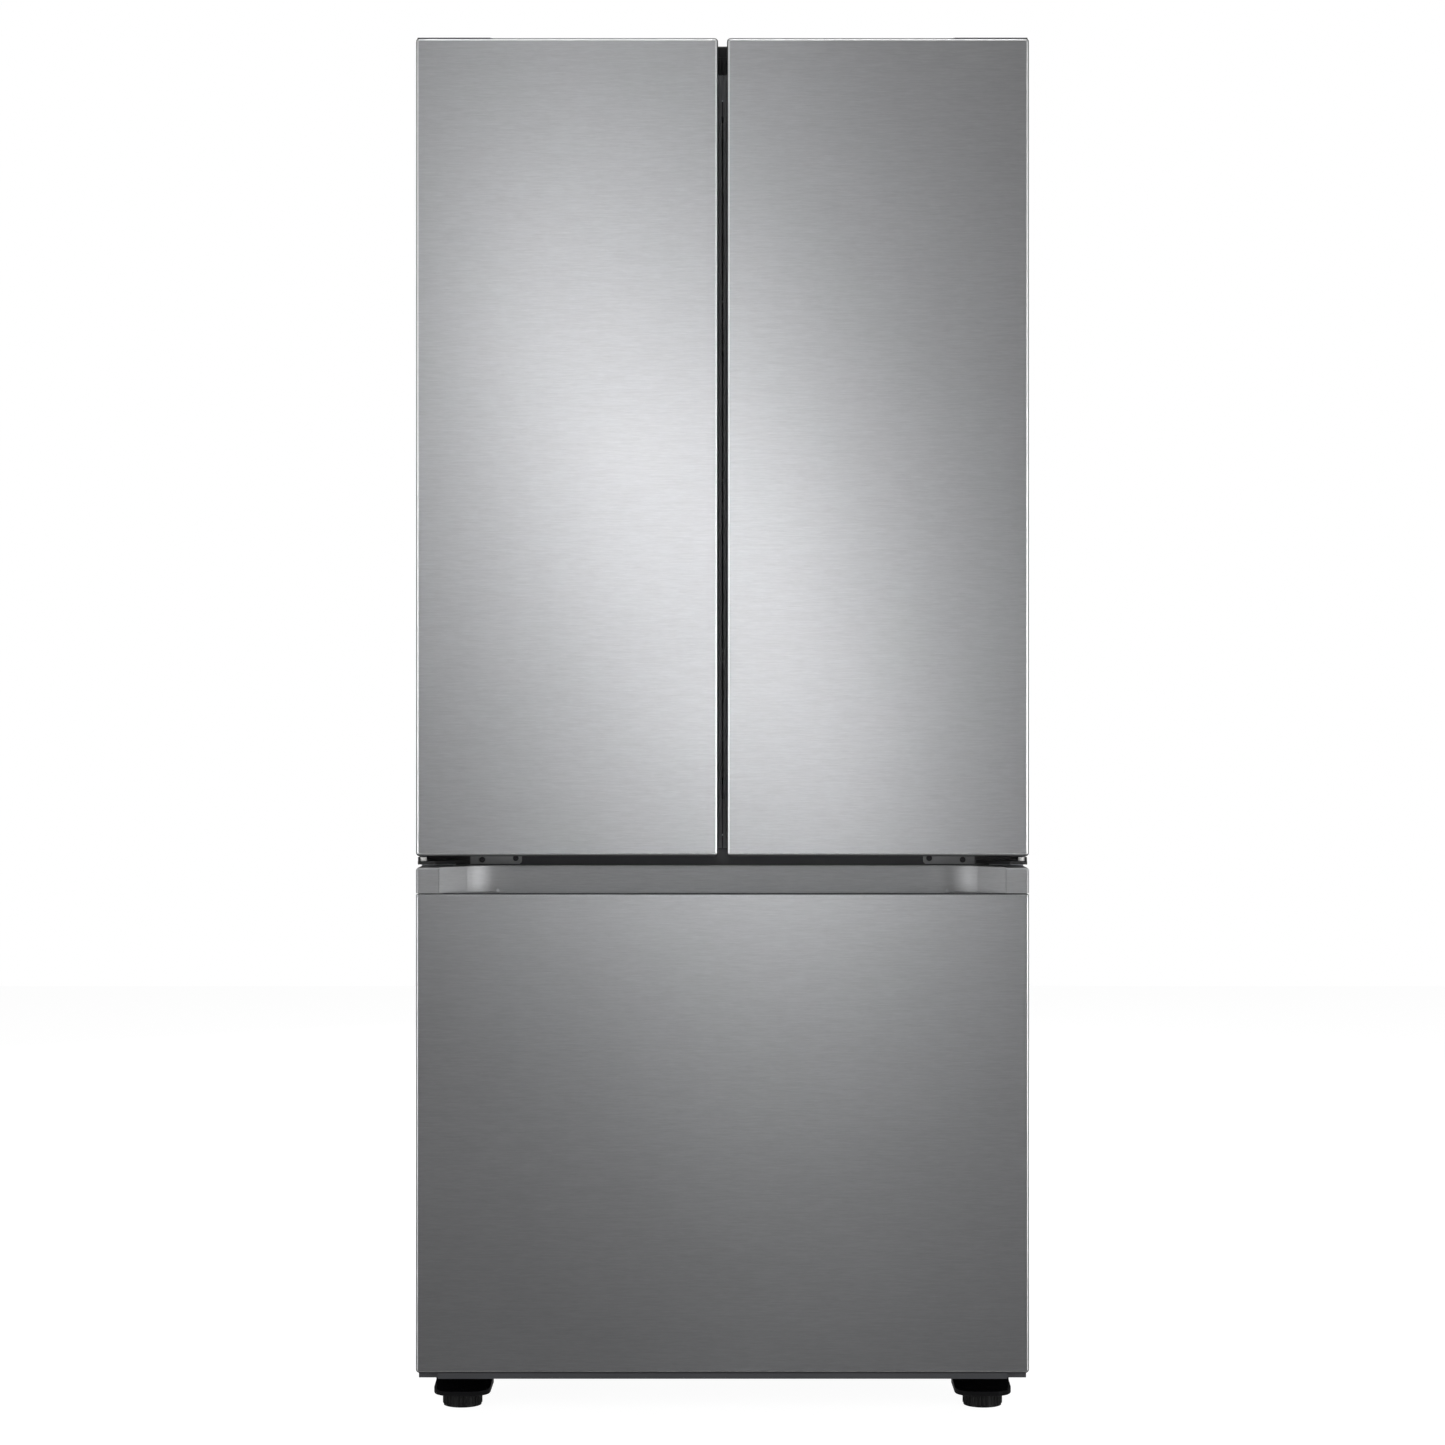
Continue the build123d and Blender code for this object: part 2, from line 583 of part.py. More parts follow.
with BuildPart() as evaporator:
    for level in range(4):
        shaft_x((-250, 250), 312, 345 + level * 36, 4)
    for fin in range(24):
        block((-236 + fin * 20.4, -234.8 + fin * 20.4), (300, 326), (330, 468))
    for side in (-1, 1):
        block((side * 248, side * 252), (298, 328), (326, 474))
    block((-4, 4), (322, FREEZER_BACK), (544, 576))
    shaft_y(0, (304, 324), 560, 22)
    shaft_y(0, (PANEL_Y + 5, 306), 560, 3)
save(evaporator, "evaporator")

fan(0, (PANEL_Y + 6, PANEL_Y + 18), 560, 48, 5, "evaporator_fan")


# ---- Doors ----
CAP_TALL = 19
DYKE_X = (50, 325)
DYKE_Z = (735, 1625)
BIN_HEIGHTS = ((770, 905), (1060, 1175), (1320, 1425))
BIN_BACK = -265


def door(side, hand):
    """One door: steel skin, end caps, insulation, inner panel, gasket and bins."""
    x = (side * MEETING, side * SIDE)
    inside_x = (side * (MEETING + SHEET), side * (SIDE - SHEET))
    inside_z = (DOOR_BOTTOM + SHEET, TOP - SHEET)
    hem = FRONT + 7
    cap_y = (hem, LINER_FRONT)
    outside = slab(x, (DOOR_BOTTOM, TOP), (FRONT, LINER_FRONT), CORNER, RIM)
    inside = slab(inside_x, inside_z, (FRONT + SHEET, LINER_FRONT), CORNER - SHEET, RIM - SHEET)

    with BuildPart() as skin:
        add(outside)
        add(inside, mode=Mode.SUBTRACT)
        block(inside_x, (hem, LINER_FRONT + 1), (inside_z[1] - CORNER, TOP + 1), Mode.SUBTRACT)
        block(inside_x, (hem, LINER_FRONT + 1), (DOOR_BOTTOM - 1, inside_z[0] + CORNER), Mode.SUBTRACT)
    save(skin, f"door_skin_{hand}")

    with BuildPart() as caps:
        block(inside_x, cap_y, (inside_z[1] - CAP_TALL, inside_z[1]))
        block(inside_x, cap_y, (inside_z[0], inside_z[0] + CAP_TALL))
        rows = caps.edges().filter_by(Axis.Y).group_by(Axis.Z)
        fillet(rows[0] + rows[-1], CORNER - SHEET)
        grip_x = (side * 44, side * 336)
        block(grip_x, (FRONT + 16, LINER_FRONT - 12), (inside_z[0] - 1, inside_z[0] + 14), Mode.SUBTRACT)
        post(side * HINGE_X, HINGE_Y, (DOOR_BOTTOM, TOP), PIN_RADIUS + RUN, Mode.SUBTRACT)
    save(caps, f"door_caps_{hand}")

    with BuildPart() as foam:
        add(inside)
        block(inside_x, cap_y, (inside_z[1] - CAP_TALL, TOP), Mode.SUBTRACT)
        block(inside_x, cap_y, (DOOR_BOTTOM, inside_z[0] + CAP_TALL), Mode.SUBTRACT)
    save(foam, f"door_foam_{hand}")

    panel_x = (side * (MEETING + 2), side * (SIDE - 2))
    dyke_x = (side * DYKE_X[0], side * DYKE_X[1])
    bin_x = (side * (DYKE_X[0] + 10), side * (DYKE_X[1] - 10))
    with BuildPart() as liner:
        block(panel_x, (LINER_FRONT, INNER_PANEL), (DOOR_BOTTOM + 2, TOP - 2))
        block(dyke_x, (INNER_PANEL, INNER_PANEL + 44), DYKE_Z)
        fillet(liner.edges().filter_by(Axis.Y).filter_by(lambda e: e.length > 40), 12)
        block(bin_x, (INNER_PANEL, INNER_PANEL + 45), (DYKE_Z[0] + 10, DYKE_Z[1] - 10), Mode.SUBTRACT)
    save(liner, f"door_liner_{hand}")

    with BuildPart() as gasket:
        gasket_z = (703.5, 1694)
        frame((side * 1.75, side * 366), (INNER_PANEL, SEAL), gasket_z, GASKET)
    save(gasket, f"door_gasket_{hand}")

    forms = [tray(bin_x, (INNER_PANEL + 0.5, BIN_BACK), z, 3, 10) for z in BIN_HEIGHTS]
    with BuildPart() as bins:
        for form in forms:
            add(form)
    save(bins, f"door_bins_{hand}")


for side, hand in ((-1, "left"), (1, "right")):
    door(side, hand)

KNUCKLE = 13
with BuildPart() as mullion_brackets:
    for knuckle_z in KNUCKLE_Z:
        span = (knuckle_z - KNUCKLE, knuckle_z + KNUCKLE)
        post(MULLION_X, MULLION_Y, span, 8)
        block((MULLION_X - 5, MULLION_X + 5), (INNER_PANEL, MULLION_Y), span)
        foot_x = (MULLION_X - 18, MULLION_X + 7.5)
        block(foot_x, (INNER_PANEL, INNER_PANEL + 3), (span[0] - 12, span[1] + 12))
        post(MULLION_X, MULLION_Y, (span[0] - 18, span[1] + 18), 2.5)
save(mullion_brackets, "mullion_brackets")

with BuildPart() as mullion:
    far_end = MULLION_Y - MULLION_THICK / 2 + MULLION_WIDE
    half = MULLION_THICK / 2
    post(MULLION_X, MULLION_Y, MULLION_Z, half)
    block((MULLION_X - half, MULLION_X + half), (MULLION_Y, far_end), MULLION_Z)
    back_edges = mullion.edges().filter_by(Axis.Z).group_by(Axis.Y)[-1]
    fillet(back_edges, 4)
    groove_x = (MULLION_X + half - 2, MULLION_X + half + 1)
    block(groove_x, (MULLION_Y + 15, MULLION_Y + 19), MULLION_Z, Mode.SUBTRACT)
    for knuckle_z in KNUCKLE_Z:
        notch = (knuckle_z - KNUCKLE - 1, knuckle_z + KNUCKLE + 1)
        post(MULLION_X, MULLION_Y, notch, 13.5, Mode.SUBTRACT)
        post(MULLION_X, MULLION_Y, (notch[0] - 18, notch[1] + 18), 2.5 + RUN, Mode.SUBTRACT)
save(mullion, "mullion")


# ---- Freezer drawer ----
POCKET_X = 349
POCKET_BACK = FRONT + 49
POCKET_CORNER = 292  # where its slanted end walls would meet the back wall
TROUGH_X = 286
TROUGH_Z = (618, HANDLE_BOTTOM)
drawer_z = (SKIN_BOTTOM, DRAWER_TOP)
drawer_inner_z = (SKIN_BOTTOM + SHEET, DRAWER_TOP - SHEET)
drawer_outside = slab((-SIDE, SIDE), drawer_z, (FRONT, LINER_FRONT), CORNER, DRAWER_RIM)
drawer_inside = slab(
    (-SIDE + SHEET, SIDE - SHEET),
    drawer_inner_z,
    (FRONT + SHEET, LINER_FRONT),
    CORNER - SHEET,
    DRAWER_RIM - SHEET,
)

with BuildPart() as drawer_skin:
    add(drawer_outside)
    add(drawer_inside, mode=Mode.SUBTRACT)
    block((-SIDE - 1, SIDE + 1), (FRONT - 1, LINER_FRONT + 1), (SKIN_TOP, DRAWER_TOP + 1), Mode.SUBTRACT)
    block((-SIDE + SHEET, SIDE - SHEET), (FRONT + SHEET, FRONT + 10), (SKIN_TOP - SHEET, SKIN_TOP))
    top_edge = drawer_skin.edges().filter_by(Axis.X).group_by(Axis.Z)[-1].sort_by(Axis.Y)[0]
    fillet(top_edge, 0.9)
save(drawer_skin, "drawer_skin")

with BuildPart() as handle_trim:
    add(drawer_outside)
    block((-SIDE - 1, SIDE + 1), (FRONT - 1, REAR), (0, HANDLE_BOTTOM), Mode.SUBTRACT)
    block((-POCKET_X - 3, POCKET_X + 3), (FRONT + 13, POCKET_BACK + 3), TROUGH_Z)
    with BuildSketch(Plane.XY.offset(HANDLE_BOTTOM)) as pocket:
        with BuildLine():
            Polyline(
                (-POCKET_X - 2, FRONT - 1),
                (-POCKET_X, FRONT + 1),
                (-POCKET_X, FRONT + 2),
                (-POCKET_CORNER, POCKET_BACK),
                (POCKET_CORNER, POCKET_BACK),
                (POCKET_X, FRONT + 2),
                (POCKET_X, FRONT + 1),
                (POCKET_X + 2, FRONT - 1),
                close=True,
            )
        make_face()
        fillet(pocket.vertices().group_by(Axis.Y)[-1], 90)
    extrude(amount=60, mode=Mode.SUBTRACT)
    with BuildSketch(Plane.XY.offset(TROUGH_Z[0] + 3)):
        with Locations((0, (FRONT + 16 + POCKET_BACK) / 2)):
            RectangleRounded(2 * TROUGH_X, POCKET_BACK - FRONT - 16, 12)
    extrude(amount=HANDLE_BOTTOM - TROUGH_Z[0], mode=Mode.SUBTRACT)
save(handle_trim, "handle_trim")

with BuildPart() as drawer_cap:
    block((-351, 351), (FRONT + 1, LINER_FRONT), (DRAWER_BOTTOM, SKIN_BOTTOM))
    block((-SIDE + 3, SIDE - 3), (FRONT + 9, LINER_FRONT), (DRAWER_BOTTOM, SKIN_BOTTOM))
save(drawer_cap, "drawer_cap")

with BuildPart() as drawer_foam:
    add(drawer_inside)
    block((-SIDE, SIDE), (FRONT, LINER_FRONT + 1), (TROUGH_Z[0], DRAWER_TOP + 1), Mode.SUBTRACT)
save(drawer_foam, "drawer_foam")

with BuildPart() as drawer_liner:
    block((-SIDE + 2, SIDE - 2), (LINER_FRONT, INNER_PANEL), (DRAWER_BOTTOM + 2, DRAWER_TOP - 2))
    block((-284, 284), (INNER_PANEL, INNER_PANEL + 22), (128, 610))
    fillet(drawer_liner.edges().filter_by(Axis.Y).filter_by(lambda e: e.length > 20), 14)
    block((-270, 270), (INNER_PANEL + 4, INNER_PANEL + 23), (148, 590), Mode.SUBTRACT)
save(drawer_liner, "drawer_liner")

with BuildPart() as drawer_gasket:
    frame((-366, 366), (INNER_PANEL, SEAL), (64, 673), GASKET)
save(drawer_gasket, "drawer_gasket")

BASKET_X = 286
BASKET_Y = (-335, 150)
BASKET_Z = (134, 440)
basket_form = tray((-BASKET_X, BASKET_X), BASKET_Y, BASKET_Z, 3, 16)
with BuildPart() as freezer_basket:
    add(basket_form)
    for wall_y in (BASKET_Y[0] - 1, BASKET_Y[1] - 4):
        for column in range(-4, 5):
            block((column * 56 - 18, column * 56 + 18), (wall_y, wall_y + 5), (350, 420), Mode.SUBTRACT)
save(freezer_basket, "freezer_basket")

tray_form = tray((-BASKET_X, BASKET_X), (-330, -20), (441, 560), 3, 16)
with BuildPart() as upper_tray:
    add(tray_form)
save(upper_tray, "upper_tray")


def slide(outer_x, web, flange, z, y, name):
    """A pair of C-shaped slide members, open towards the middle."""
    with BuildPart() as members:
        for side in (-1, 1):
            block((side * (outer_x - flange), side * outer_x), y, z)
            inner_z = (z[0] + 2, z[1] - 2)
            cut_x = (side * (outer_x - flange - 1), side * (outer_x - web))
            block(cut_x, (y[0] - 1, y[1] + 1), inner_z, Mode.SUBTRACT)
    save(members, name)


slide(317.7, 2, 12, RAIL_Z, RAIL_Y, "rail_outer")
slide(314.5, 2, 12, (RAIL_Z[0] + 3, RAIL_Z[1] - 3), RAIL_Y, "rail_middle")

with BuildPart() as rail_inner:
    for side in (-1, 1):
        block((side * 306, side * 311.5), RAIL_Y, (RAIL_Z[0] + 6, RAIL_Z[1] - 6))
        block((side * BASKET_X, side * 307), (INNER_PANEL, RAIL_Y[1]), (RAIL_Z[0] + 14, RAIL_Z[1] - 14))
        block((side * 291, side * 309), (INNER_PANEL, INNER_PANEL + 3), (RAIL_Z[0] - 20, RAIL_Z[1] + 20))
save(rail_inner, "rail_inner")
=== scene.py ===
"""The french door refrigerator's looks: materials, fine pieces, studio and camera."""

import json
import math

import bmesh
import bpy
from mathutils import Matrix, Vector


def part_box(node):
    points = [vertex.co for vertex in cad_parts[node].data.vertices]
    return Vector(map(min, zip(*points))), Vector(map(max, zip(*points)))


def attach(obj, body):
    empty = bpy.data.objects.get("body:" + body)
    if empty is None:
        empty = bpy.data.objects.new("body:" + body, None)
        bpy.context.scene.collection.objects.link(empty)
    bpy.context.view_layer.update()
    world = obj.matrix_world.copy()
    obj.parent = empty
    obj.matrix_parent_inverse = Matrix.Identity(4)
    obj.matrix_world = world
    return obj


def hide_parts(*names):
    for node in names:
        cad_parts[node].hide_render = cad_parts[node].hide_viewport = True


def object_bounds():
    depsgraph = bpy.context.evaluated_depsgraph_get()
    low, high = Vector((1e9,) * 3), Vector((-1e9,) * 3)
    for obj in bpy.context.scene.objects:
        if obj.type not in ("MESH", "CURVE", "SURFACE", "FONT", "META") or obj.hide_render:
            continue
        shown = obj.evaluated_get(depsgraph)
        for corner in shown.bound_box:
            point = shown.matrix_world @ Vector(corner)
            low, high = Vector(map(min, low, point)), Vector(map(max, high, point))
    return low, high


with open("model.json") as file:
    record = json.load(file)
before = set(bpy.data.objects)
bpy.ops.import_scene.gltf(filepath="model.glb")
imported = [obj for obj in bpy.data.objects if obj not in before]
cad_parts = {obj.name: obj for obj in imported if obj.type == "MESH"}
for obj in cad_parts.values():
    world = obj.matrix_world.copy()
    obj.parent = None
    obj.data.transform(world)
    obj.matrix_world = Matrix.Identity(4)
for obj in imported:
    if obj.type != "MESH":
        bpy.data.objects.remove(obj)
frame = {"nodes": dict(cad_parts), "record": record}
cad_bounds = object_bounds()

MM = 0.001

# A Mix node's colour sockets by position, since its other data types share their names
MIX_FIRST, MIX_SECOND, MIX_RESULT = 6, 7, 2

# Where painted shade starts or ends within one piece, in metres from the centre or the floor
CAP_START = 0.3495  # the end caps of the handle strip; painted shade fills the pocket between them
ARM_END = 0.3165  # the grey part of a middle hinge's plate; painted shade on the arm beyond it
SLIT_DARK = 1.672  # painted shade on the gaskets above this height, at the shadowed top of the slit between the doors


# ---- Shader nodes ----
class Tree:
    """A material's node tree, with the few nodes that every finish here uses."""

    def __init__(self, name):
        self.material = bpy.data.materials.new(name)
        self.material.use_nodes = True
        self.nodes = self.material.node_tree.nodes
        self.links = self.material.node_tree.links
        self.shader = self.nodes["Principled BSDF"]
        self.place = self.nodes.new("ShaderNodeTexCoord").outputs["Object"]

    def noise(self, scale, detail=3.0, rough=0.55, stretch=(1, 1, 1)):
        """Fractal noise in object space, stretched along the axes."""
        mapping = self.nodes.new("ShaderNodeMapping")
        mapping.inputs["Scale"].default_value = stretch
        self.links.new(self.place, mapping.inputs["Vector"])
        texture = self.nodes.new("ShaderNodeTexNoise")
        texture.inputs["Scale"].default_value = scale
        texture.inputs["Detail"].default_value = detail
        texture.inputs["Roughness"].default_value = rough
        self.links.new(mapping.outputs["Vector"], texture.inputs["Vector"])
        return texture.outputs["Fac"]

    def cells(self, scale):
        """Voronoi cells, for spangle and cast speckle."""
        texture = self.nodes.new("ShaderNodeTexVoronoi")
        texture.inputs["Scale"].default_value = scale
        self.links.new(self.place, texture.inputs["Vector"])
        return texture.outputs["Color"]

    def spread(self, value, low, high, start=0.3, end=0.7):
        """The value, mapped from start..end to low..high."""
        node = self.nodes.new("ShaderNodeMapRange")
        limits = {"From Min": start, "From Max": end, "To Min": low, "To Max": high}
        for socket, number in limits.items():
            node.inputs[socket].default_value = number
        self.links.new(value, node.inputs["Value"])
        return node.outputs["Result"]

    def blend(self, factor, first, second):
        """Two colours mixed by a factor."""
        node = self.nodes.new("ShaderNodeMix")
        node.data_type = "RGBA"
        self.links.new(factor, node.inputs["Factor"])
        for socket, colour in ((MIX_FIRST, first), (MIX_SECOND, second)):
            node.inputs[socket].default_value = (*colour, 1)
        return node.outputs[MIX_RESULT]

    def add(self, first, second):
        """The sum of two values."""
        node = self.nodes.new("ShaderNodeMath")
        node.operation = "ADD"
        self.links.new(first, node.inputs[0])
        self.links.new(second, node.inputs[1])
        return node.outputs[0]

    def beyond(self, axis, limit, soft=0.0008, both_sides=True):
        """0 within a limit along one axis of the object's space, 1 beyond it."""
        split = self.nodes.new("ShaderNodeSeparateXYZ")
        self.links.new(self.place, split.inputs[0])
        value = split.outputs[axis]
        if both_sides:
            size = self.nodes.new("ShaderNodeMath")
            size.operation = "ABSOLUTE"
            self.links.new(value, size.inputs[0])
            value = size.outputs[0]
        return self.spread(value, 0, 1, limit - soft, limit + soft)

    def turned(self, axis, near, far):
        """1 where the surface faces along an axis by less than near, 0 by more than far."""
        split = self.nodes.new("ShaderNodeSeparateXYZ")
        faced = self.nodes.new("ShaderNodeTexCoord").outputs["Normal"]
        self.links.new(faced, split.inputs[0])
        size = self.nodes.new("ShaderNodeMath")
        size.operation = "ABSOLUTE"
        self.links.new(split.outputs[axis], size.inputs[0])
        return self.spread(size.outputs[0], 1, 0, near, far)

    def darken(self, mask, amount):
        """Painted shade: the base colour multiplied by amount where the mask is 1."""
        socket = self.shader.inputs["Base Color"]
        colour = socket.links[0].from_socket
        node = self.nodes.new("ShaderNodeMix")
        node.data_type = "RGBA"
        node.blend_type = "MULTIPLY"
        self.links.new(mask, node.inputs["Factor"])
        self.links.new(colour, node.inputs[MIX_FIRST])
        node.inputs[MIX_SECOND].default_value = (amount, amount, amount, 1)
        self.links.new(node.outputs[MIX_RESULT], socket)

    def bump(self, height, distance, strength=1.0):
        """A bumped normal on the shader."""
        node = self.nodes.new("ShaderNodeBump")
        node.inputs["Distance"].default_value = distance
        node.inputs["Strength"].default_value = strength
        self.links.new(height, node.inputs["Height"])
        self.links.new(node.outputs["Normal"], self.shader.inputs["Normal"])

    def set(self, **sockets):
        """Plain numbers on the shader's own sockets."""
        for socket, number in sockets.items():
            self.shader.inputs[socket.replace("_", " ")].default_value = number

    def wire(self, socket, value):
        """A texture's value into one of the shader's sockets."""
        self.links.new(value, self.shader.inputs[socket])

    def tone(self, value, colour, low, high):
        """The base colour, from low times the colour where the value is 0 to high where it is 1."""
        self.wire("Base Color", self.blend(value, tinted(colour, low), tinted(colour, high)))


def tinted(colour, factor):
    """A colour made lighter or darker."""
    return tuple(min(1.0, c * factor) for c in colour)


def brushed(name, colour, rough, anisotropy=0.6, streak=0.05, painted_side_shade=1.0, painted_pocket_shade=None):
    """Brushed sheet: level streaks, a highlight spread across them, and painted shade on its sides.

    The colour of faces turned away from the front is multiplied by a painted shade factor, on
    the rims and sides. Within a distance of the centre plane, the colour can be multiplied by
    another one, as painted shade in the recessed pocket of the handle strip.
    """
    tree = Tree(name)
    grain = tree.noise(1.0, detail=3, rough=0.7, stretch=(110, 110, 1100))
    bands = tree.noise(1.0, detail=2, rough=0.5, stretch=(45, 60, 640))
    hand = tree.noise(2.2, detail=2)
    mixed = tree.add(grain, bands)
    tree.tone(tree.spread(mixed, 0, 1, 0.6, 1.4), colour, 1 - streak, 1 + streak)
    streaks = tree.spread(mixed, rough - 0.025, rough + 0.025, 0.6, 1.4)
    tree.wire("Roughness", tree.add(streaks, tree.spread(hand, -0.01, 0.012)))
    tree.bump(grain, 0.00002, 0.5)
    tree.set(Metallic=1.0, Anisotropic=anisotropy, Anisotropic_Rotation=0.25)
    tangent = tree.nodes.new("ShaderNodeTangent")
    tangent.direction_type = "RADIAL"
    tangent.axis = "Z"
    tree.wire("Tangent", tangent.outputs["Tangent"])
    # Painted shade: faces turned away from the front, such as the rims and sides, are darkened
    if painted_side_shade < 1:
        tree.darken(tree.turned(1, 0.6, 0.78), painted_side_shade)
    # Painted shade: the colour is darkened within a distance of the centre plane, as in the
    # handle's recessed pocket
    if painted_pocket_shade:
        limit, amount = painted_pocket_shade
        tree.darken(tree.spread(tree.beyond(0, limit), 1, 0, 0, 1), amount)
    return tree.material


def moulded(name, colour, rough, grain=900, depth=0.00004, coat=0.0, vary=0.06, painted_shade_above=0):
    """Moulded plastic or rubber with a fine cast texture, with painted shade above a height if
    given.
    """
    tree = Tree(name)
    skin = tree.noise(grain, detail=2)
    cloud = tree.noise(6, detail=3)
    tree.tone(tree.spread(cloud, 0, 1), colour, 1 - vary, 1 + vary)
    tree.wire("Roughness", tree.spread(tree.add(skin, cloud), rough - 0.05, rough + 0.05, 0.7, 1.3))
    tree.bump(skin, depth, 0.6)
    tree.set(IOR=1.48, Coat_Weight=coat, Coat_Roughness=0.08)
    # Painted shade: near black above a height, as at the shadowed top of the slit
    if painted_shade_above:
        tree.darken(tree.beyond(2, painted_shade_above, both_sides=False), 0.04)
    return tree.material


def painted(name, colour, rough, peel=420, depth=0.00006, painted_shade_beyond=0):
    """Painted steel with orange peel and dust, with painted shade beyond a distance from the centre
    if given.
    """
    tree = Tree(name)
    skin = tree.noise(peel, detail=2, rough=0.4)
    dust = tree.noise(9, detail=4, rough=0.6)
    tree.tone(tree.spread(dust, 0, 1), colour, 0.95, 1.07)
    tree.wire("Roughness", tree.spread(dust, rough - 0.04, rough + 0.06))
    tree.bump(skin, depth, 0.7)
    tree.set(IOR=1.5, Coat_Weight=0.15, Coat_Roughness=0.25)
    # Painted shade: near black beyond a distance from the centre, as on the middle hinges' arms
    if painted_shade_beyond:
        tree.darken(tree.beyond(0, painted_shade_beyond), 0.06)
    return tree.material


def zinc(name, colour, rough):
    """Zinc-plated sheet with a faint spangle."""
    tree = Tree(name)
    spangle = tree.cells(160)
    scuff = tree.noise(30, detail=4, stretch=(1, 4, 1))
    tree.tone(tree.spread(spangle, 0, 1, 0.1, 0.9), colour, 0.92, 1.08)
    tree.wire("Roughness", tree.spread(scuff, rough - 0.03, rough + 0.04))
    tree.bump(scuff, 0.00002, 0.25)
    tree.set(Metallic=1.0)
    return tree.material


def clear(name, colour, rough, tint=1.0):
    """Clear moulded plastic or tempered glass."""
    tree = Tree(name)
    flow = tree.noise(12, detail=2)
    tree.tone(tree.spread(flow, 0, 1), colour, 0.97, 1.0)
    tree.wire("Roughness", tree.spread(flow, rough, rough + 0.05))
    tree.bump(flow, 0.0002, 0.2)
    tree.set(IOR=1.49, Transmission_Weight=0.9 * tint)
    return tree.material


def foamed(name, colour):
    """Rigid insulating foam with open cells."""
    tree = Tree(name)
    pores = tree.noise(600, detail=4, rough=0.7)
    cloud = tree.noise(10, detail=3)
    tree.tone(tree.spread(cloud, 0, 1), colour, 0.85, 1.1)
    tree.wire("Roughness", tree.spread(pores, 0.8, 0.95))
    tree.bump(pores, 0.0004, 0.8)
    return tree.material


FINISHES = {
    # The fronts' steel, with painted shade on the rims and side faces
    "steel_front": brushed(
        "steel_front", (0.61, 0.615, 0.63), 0.37, 0.48, streak=0.085, painted_side_shade=0.2
    ),
    # A pale steel for the strips on the fronts' rims, a painted highlight
    "steel_painted_highlight": brushed("steel_painted_highlight", (0.95, 0.955, 0.96), 0.44, 0.1, streak=0.03),
    # The middle hinges' plate, with painted shade on their arms beyond ARM_END
    "hinge_plate": painted("hinge_plate", (0.30, 0.305, 0.31), 0.35, painted_shade_beyond=ARM_END),
    # The handle strip's steel, with painted shade in its recessed pocket between the end caps
    "steel_handle": brushed(
        "steel_handle", (0.52, 0.525, 0.535), 0.50, 0.35, streak=0.10, painted_pocket_shade=(CAP_START, 0.80)
    ),
    "cabinet_paint": painted("cabinet_paint", (0.30, 0.31, 0.33), 0.42),
    "dark_rail": painted("dark_rail", (0.045, 0.046, 0.05), 0.45),
    "rear_sheet": zinc("rear_sheet", (0.50, 0.51, 0.515), 0.56),
    "black_plastic": moulded("black_plastic", (0.012, 0.012, 0.013), 0.42),
    "gloss_black": moulded("gloss_black", (0.003, 0.003, 0.0035), 0.16, grain=300, coat=0.6),
    "dark_plastic": moulded("dark_plastic", (0.045, 0.046, 0.05), 0.4),
    "foot_rubber": moulded(
        "foot_rubber", (0.0035, 0.0035, 0.0035), 0.35, grain=500, depth=0.0001
    ),
    "roller_plastic": moulded("roller_plastic", (0.05, 0.05, 0.05), 0.5),
    "white_liner": moulded("white_liner", (0.80, 0.82, 0.83), 0.3, grain=700, vary=0.015),
    "white_nylon": moulded("white_nylon", (0.90, 0.90, 0.88), 0.35, vary=0.02),
    "clear_plastic": clear("clear_plastic", (0.95, 0.975, 0.985), 0.06, tint=0.93),
    "shelf_glass": clear("shelf_glass", (0.88, 0.96, 0.94), 0.02),
    # The gaskets, with painted shade above SLIT_DARK at the top of the slit
    "gasket_rubber": moulded(
        "gasket_rubber",
        (0.26, 0.265, 0.275),
        0.5,
        grain=400,
        depth=0.00008,
        painted_shade_above=SLIT_DARK,
    ),
    "insulation": foamed("insulation", (0.72, 0.62, 0.36)),
    "zinc_steel": zinc("zinc_steel", (0.55, 0.56, 0.57), 0.38),
    "black_steel": painted("black_steel", (0.02, 0.02, 0.022), 0.4),
    "bright_fins": brushed("bright_fins", (0.75, 0.76, 0.77), 0.3, 0.3),
}

# Nodes whose finish isn't the plain one of their slot, and finishes that belong to another slot;
# the middle hinges' one has painted shade on their arms
NODE_FINISH = {"middle_hinges": "hinge_plate"}

for entry in frame["record"]["subparts"]:
    node = frame["nodes"][entry["node"]]
    node.data.materials.clear()
    node.data.materials.append(FINISHES[NODE_FINISH.get(entry["node"], entry["material_slot"])])


# ---- Fine pieces ----
def piece(name, body, finish, make, instead_of=()):
    """A mesh that make() fills, which rides on a body and may stand for CAD nodes."""
    mesh = bpy.data.meshes.new(name)
    shape = bmesh.new()
    make(shape)
    bmesh.ops.recalc_face_normals(shape, faces=shape.faces)
    shape.to_mesh(mesh)
    shape.free()
    mesh.materials.append(FINISHES[finish])
    thing = bpy.data.objects.new(name, mesh)
    bpy.context.collection.objects.link(thing)
    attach(thing, body)
    if instead_of:
        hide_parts(*instead_of)


